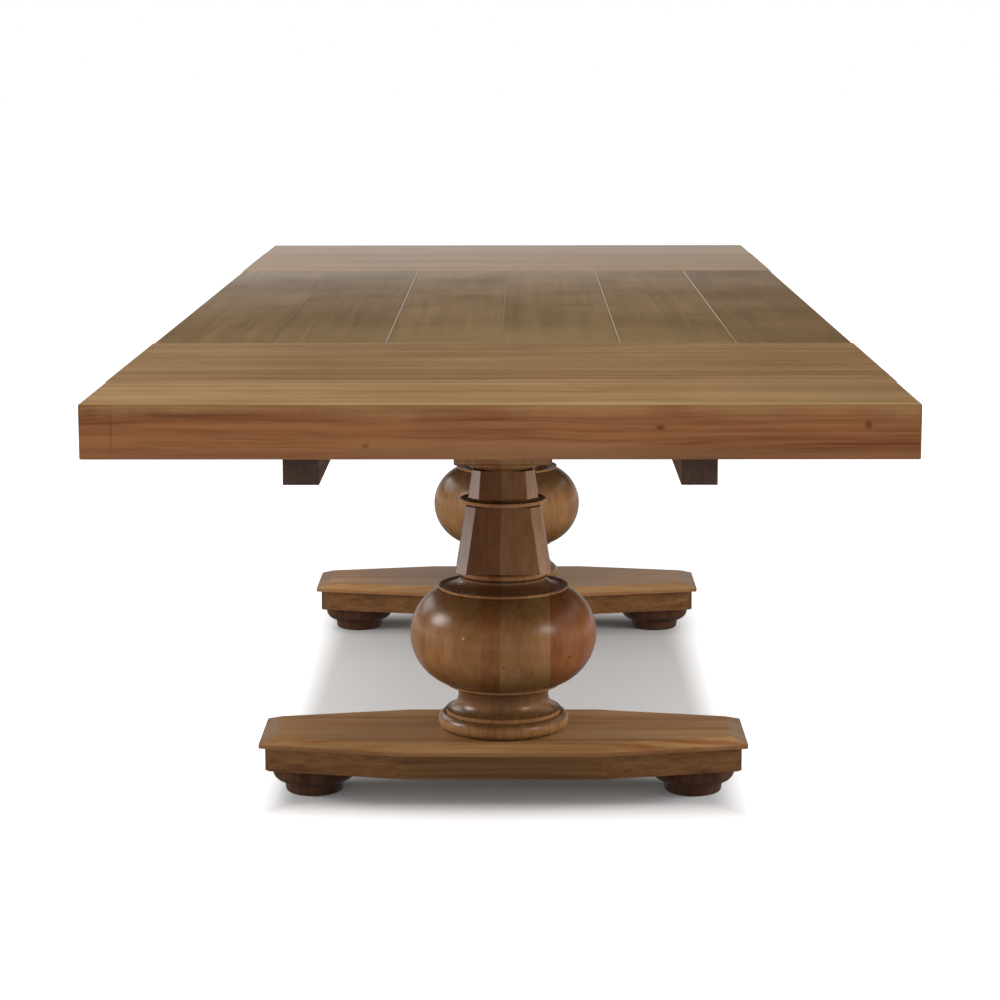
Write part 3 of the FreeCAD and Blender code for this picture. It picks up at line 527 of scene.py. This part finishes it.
# Pieces that single lamps are kept to
mirrorGroups = {
    "turnedWood": "turnedPieces", "evenWood": "turnedPieces", "ringWood": "turnedPieces",
    "columnWood": "columnPieces",
}
flatTops = ("top_plank", "leaf_board", "end_board")
groupNames = ("turnedPieces", "columnPieces", "lowPieces")
litPieces = {name: bpy.data.collections.new(name) for name in groupNames}
for name in nodes:
    finish = next(finish for word, finish in pieceFinishes if word in name)
    dress(finishes[finish], name)
    if finish in mirrorGroups:
        litPieces[mirrorGroups[finish]].objects.link(nodes[name])
    if not any(word in name for word in flatTops):
        litPieces["lowPieces"].objects.link(nodes[name])
print("finishes on", len(nodes), "pieces")


# Studio

studio = {
    "worldLight": 0.42,
    "floorSize": 120.0,
    "floorColour": (0.80, 0.80, 0.80, 1),
    "shadowEdge": (0.33, 0.43),           # half width of the shadow, from full to none
    "shadowSpan": (-1.1, 1.1),            # stretch of the floor along the table that the stops share out
    # painted shadow: the glow along the table drops away under and between the bases, drawing the shadow's
    # outline over the floor's own shade
    "paintedShadowGlow": [
        (0.0, 0.70), (0.105, 0.68), (0.132, 0.50), (0.151, 0.27), (0.168, 0.05), (0.227, 0.01),
        (0.318, 0.08), (0.636, 0.03), (0.709, 0.0), (0.818, 0.0), (0.932, 0.70),
    ],
    "openGlow": 0.70,
    "farGlow": (1.5, 7.0), "awayGlow": 0.5,
}


def backgroundRays(tree):
    path = addNode(tree, "LightPath", {}).outputs
    seen = maths(tree, "MAXIMUM", path["Is Camera Ray"], path["Is Glossy Ray"])
    return maths(tree, "MAXIMUM", seen, path["Is Transmission Ray"])


def makeWorld():
    world = bpy.data.worlds.new("studioWorld")
    bpy.context.scene.world = world
    world.use_nodes = True
    tree = world.node_tree
    tree.nodes.clear()
    lit = addNode(tree, "Background", {"Color": (1, 1, 1, 1), "Strength": studio["worldLight"]})
    white = addNode(tree, "Background", {"Color": (1, 1, 1, 1), "Strength": 1.0})
    both = addNode(tree, "MixShader", {0: backgroundRays(tree), 1: lit.outputs[0], 2: white.outputs[0]})
    addNode(tree, "OutputWorld", {"Surface": both.outputs[0]})


# painted shadow: the floor glows white except in a shaped patch under the table
def floorGlow(tree):
    place = addNode(tree, "TexCoord", {}).outputs["Object"]
    spot = addNode(tree, "SeparateXYZ", {0: place}).outputs
    share = remap(tree, spot[1], studio["shadowSpan"], (0.0, 1.0))
    stops = [(position, (glow, glow, glow, 1)) for position, glow in studio["paintedShadowGlow"]]
    along = colourRamp(tree, share, stops).outputs[0]
    beside = maths(tree, "ABSOLUTE", spot[0])
    beside = remap(tree, beside, studio["shadowEdge"], (0.0, studio["openGlow"]), smooth=True)
    near = maths(tree, "MAXIMUM", along, beside)
    reach = addNode(tree, "VectorMath", {0: place}, operation="LENGTH").outputs["Value"]
    away = remap(tree, reach, studio["farGlow"], (0.0, studio["awayGlow"]), smooth=True)
    glow = maths(tree, "ADD", near, away)
    return maths(tree, "MULTIPLY", glow, backgroundRays(tree))


def makeFloor():
    bpy.ops.object.select_all(action="DESELECT")
    bpy.ops.mesh.primitive_plane_add(size=studio["floorSize"], location=(0, 0, 0))
    floor = bpy.context.object
    floor.name = "studioFloor"
    material, tree = newMaterial("floorPaint")
    matt = addNode(tree, "BsdfDiffuse", {"Color": studio["floorColour"]})
    light = addNode(tree, "Emission", {"Strength": floorGlow(tree)})
    both = addNode(tree, "AddShader", {0: matt.outputs[0], 1: light.outputs[0]})
    addNode(tree, "OutputMaterial", {"Surface": both.outputs[0]})
    material.cycles.emission_sampling = "NONE"      # keeps the floor's glow from taking the lamps' share
    floor.data.materials.append(material)
    litPieces["lowPieces"].objects.link(floor)


# Cards seen by mirrored rays alone. The ring is light below and dark above, so that the sheen on the top
# fades towards the viewer; the low one is mirrored by the base caps; the flat one keeps the rims of the
# turned pieces from shining white.
cards = {
    "ringCard": {
        "place": (0.0, 0.0, 6.0), "radius": 30.0, "height": 12.0, "sides": 96,
        "lean": 0.04,                      # rise of the light part towards the left
        "glow": [
            (0.0, 0.76), (0.229, 0.76), (0.244, 0.55), (0.256, 0.22), (0.268, 0.08), (0.282, 0.035),
            (0.297, 0.04), (0.315, 0.06), (0.335, 0.065), (0.35, 0.035), (0.37, 0.006),
        ],
    },
    "lowCard": {"place": (0.0, 3.0, 0.465), "size": (6.0, 0.53), "turn": 90, "lean": 0.0,
                "glow": [(0.0, 0.45), (1.0, 0.45)]},
    "flatCard": {"place": (0.0, 1.0, 0.002), "size": (9.0, 7.0), "turn": 0, "lean": 0.0,
                 "glow": [(0.0, 0.25), (1.0, 0.25)]},
}


def makeCard(name, card):
    bpy.ops.object.select_all(action="DESELECT")
    if "radius" in card:
        bpy.ops.mesh.primitive_cylinder_add(vertices=card["sides"], radius=card["radius"],
                                            depth=card["height"], end_fill_type="NOTHING")
        sheet = bpy.context.object
    else:
        bpy.ops.mesh.primitive_plane_add(size=1.0, rotation=(math.radians(card["turn"]), 0, 0))
        sheet = bpy.context.object
        sheet.scale = (*card["size"], 1.0)
    sheet.name = name
    sheet.location = card["place"]
    bpy.ops.object.transform_apply(location=True, rotation=True, scale=True)
    material, tree = newMaterial(name + "Paint")
    spot = addNode(tree, "SeparateXYZ", {0: addNode(tree, "TexCoord", {}).outputs["Object"]}).outputs
    level = maths(tree, "ADD", spot[2], maths(tree, "MULTIPLY", spot[0], card["lean"]))
    share = remap(tree, level, (0.0, 2 * card["place"][2]), (0.0, 1.0))     # the floor to the card's top
    stops = [(position, (glow, glow, glow, 1)) for position, glow in card["glow"]]
    light = addNode(tree, "Emission", {"Strength": colourRamp(tree, share, stops).outputs[0]})
    addNode(tree, "OutputMaterial", {"Surface": light.outputs[0]})
    material.cycles.emission_sampling = "NONE"
    sheet.data.materials.append(material)
    sheet.visible_camera = sheet.visible_diffuse = sheet.visible_shadow = sheet.visible_transmission = False


# Soft boxes light the pieces and are mirrored in none, the low ones leave out the flat of the top.
# Shine boxes are only mirrored, in the pieces they name.
softboxes = {
    "overheadBox": {"place": (-0.45, -0.2, 3.4), "aim": (-0.1, 0.0, 0.0), "size": (2.2, 3.4), "power": 78.0},
    "frontBox": {"place": (-1.6, -8.0, 2.0), "aim": (0.0, -0.5, 0.4), "size": (4.0, 2.4), "power": 106.0},
    "leftBox": {"place": (-3.0, -0.65, 0.64), "aim": (0.0, -0.65, 0.5), "size": (1.4, 0.85), "power": 23.0,
                "lights": "lowPieces"},
    "rightBox": {"place": (2.8, -1.3, 0.65), "aim": (0.0, -0.65, 0.4), "size": (1.0, 0.7), "power": 13.0,
                 "lights": "lowPieces"},
    "farLeftBox": {"place": (-2.3, -0.2, 0.70), "aim": (0.0, 0.65, 0.25), "size": (0.9, 0.7), "power": 22.0,
                   "lights": "lowPieces"},
    "farRightBox": {"place": (2.3, -0.5, 0.70), "aim": (0.0, 0.60, 0.20), "size": (0.9, 0.7), "power": 34.0,
                    "lights": "lowPieces"},
}
shineBoxes = {
    "leftShine": {"place": (-2.70, -0.26, 1.75), "aim": (0.0, -0.65, 0.3), "size": (1.0, 0.8), "power": 48.0,
                  "mirroredIn": "turnedPieces"},
    "rightShine": {"place": (2.34, -2.02, 1.65), "aim": (0.0, -0.65, 0.3), "size": (0.7, 0.6), "power": 25.0,
                   "mirroredIn": "turnedPieces"},
    "farShine": {"place": (-2.06, 2.40, 1.75), "aim": (0.0, 0.65, 0.3), "size": (2.0, 1.4), "power": 20.0,
                 "mirroredIn": "turnedPieces"},
    "leftSide": {"place": (-3.0, -0.65, 0.5), "aim": (0.0, -0.65, 0.4), "size": (1.4, 0.7), "power": 23.0,
                 "mirroredIn": "columnPieces"},
    "rightSide": {"place": (3.0, -0.75, 0.5), "aim": (0.0, -0.65, 0.4), "size": (1.0, 0.6), "power": 6.0,
                  "mirroredIn": "columnPieces"},
}


def makeSoftbox(name, box):
    lamp = bpy.data.lights.new(name, "AREA")
    lamp.shape = "RECTANGLE"
    lamp.size, lamp.size_y = box["size"]
    lamp.energy = box["power"]
    holder = bpy.data.objects.new(name, lamp)
    bpy.context.scene.collection.objects.link(holder)
    holder.visible_diffuse = "mirroredIn" not in box
    holder.visible_glossy = "mirroredIn" in box
    group = box.get("mirroredIn") or box.get("lights")
    if group:
        holder.light_linking.receiver_collection = litPieces[group]
    holder.location = box["place"]
    holder.rotation_euler = (Vector(box["aim"]) - Vector(box["place"])).to_track_quat("-Z", "Y").to_euler()


cameraSettings = {
    "place": (0.0249, -5.0532, 1.2287),
    "pitch": 9.485, "roll": 0.08, "yaw": 0.38,
    "lens": 97.17, "sensor": 36.0,
}


def makeCamera():
    view = bpy.data.cameras.new("photoCamera")
    view.sensor_width = cameraSettings["sensor"]
    view.lens = cameraSettings["lens"]
    holder = bpy.data.objects.new("photoCamera", view)
    bpy.context.scene.collection.objects.link(holder)
    holder.location = cameraSettings["place"]
    turns = (90 - cameraSettings["pitch"], cameraSettings["roll"], cameraSettings["yaw"])
    holder.rotation_euler = [math.radians(turn) for turn in turns]
    bpy.context.scene.camera = holder


makeWorld()
makeFloor()
for name, card in cards.items():
    makeCard(name, card)
for name, box in (softboxes | shineBoxes).items():
    makeSoftbox(name, box)
makeCamera()
bpy.context.scene.view_settings.view_transform = "Standard"
print("studio, lights and camera ready")
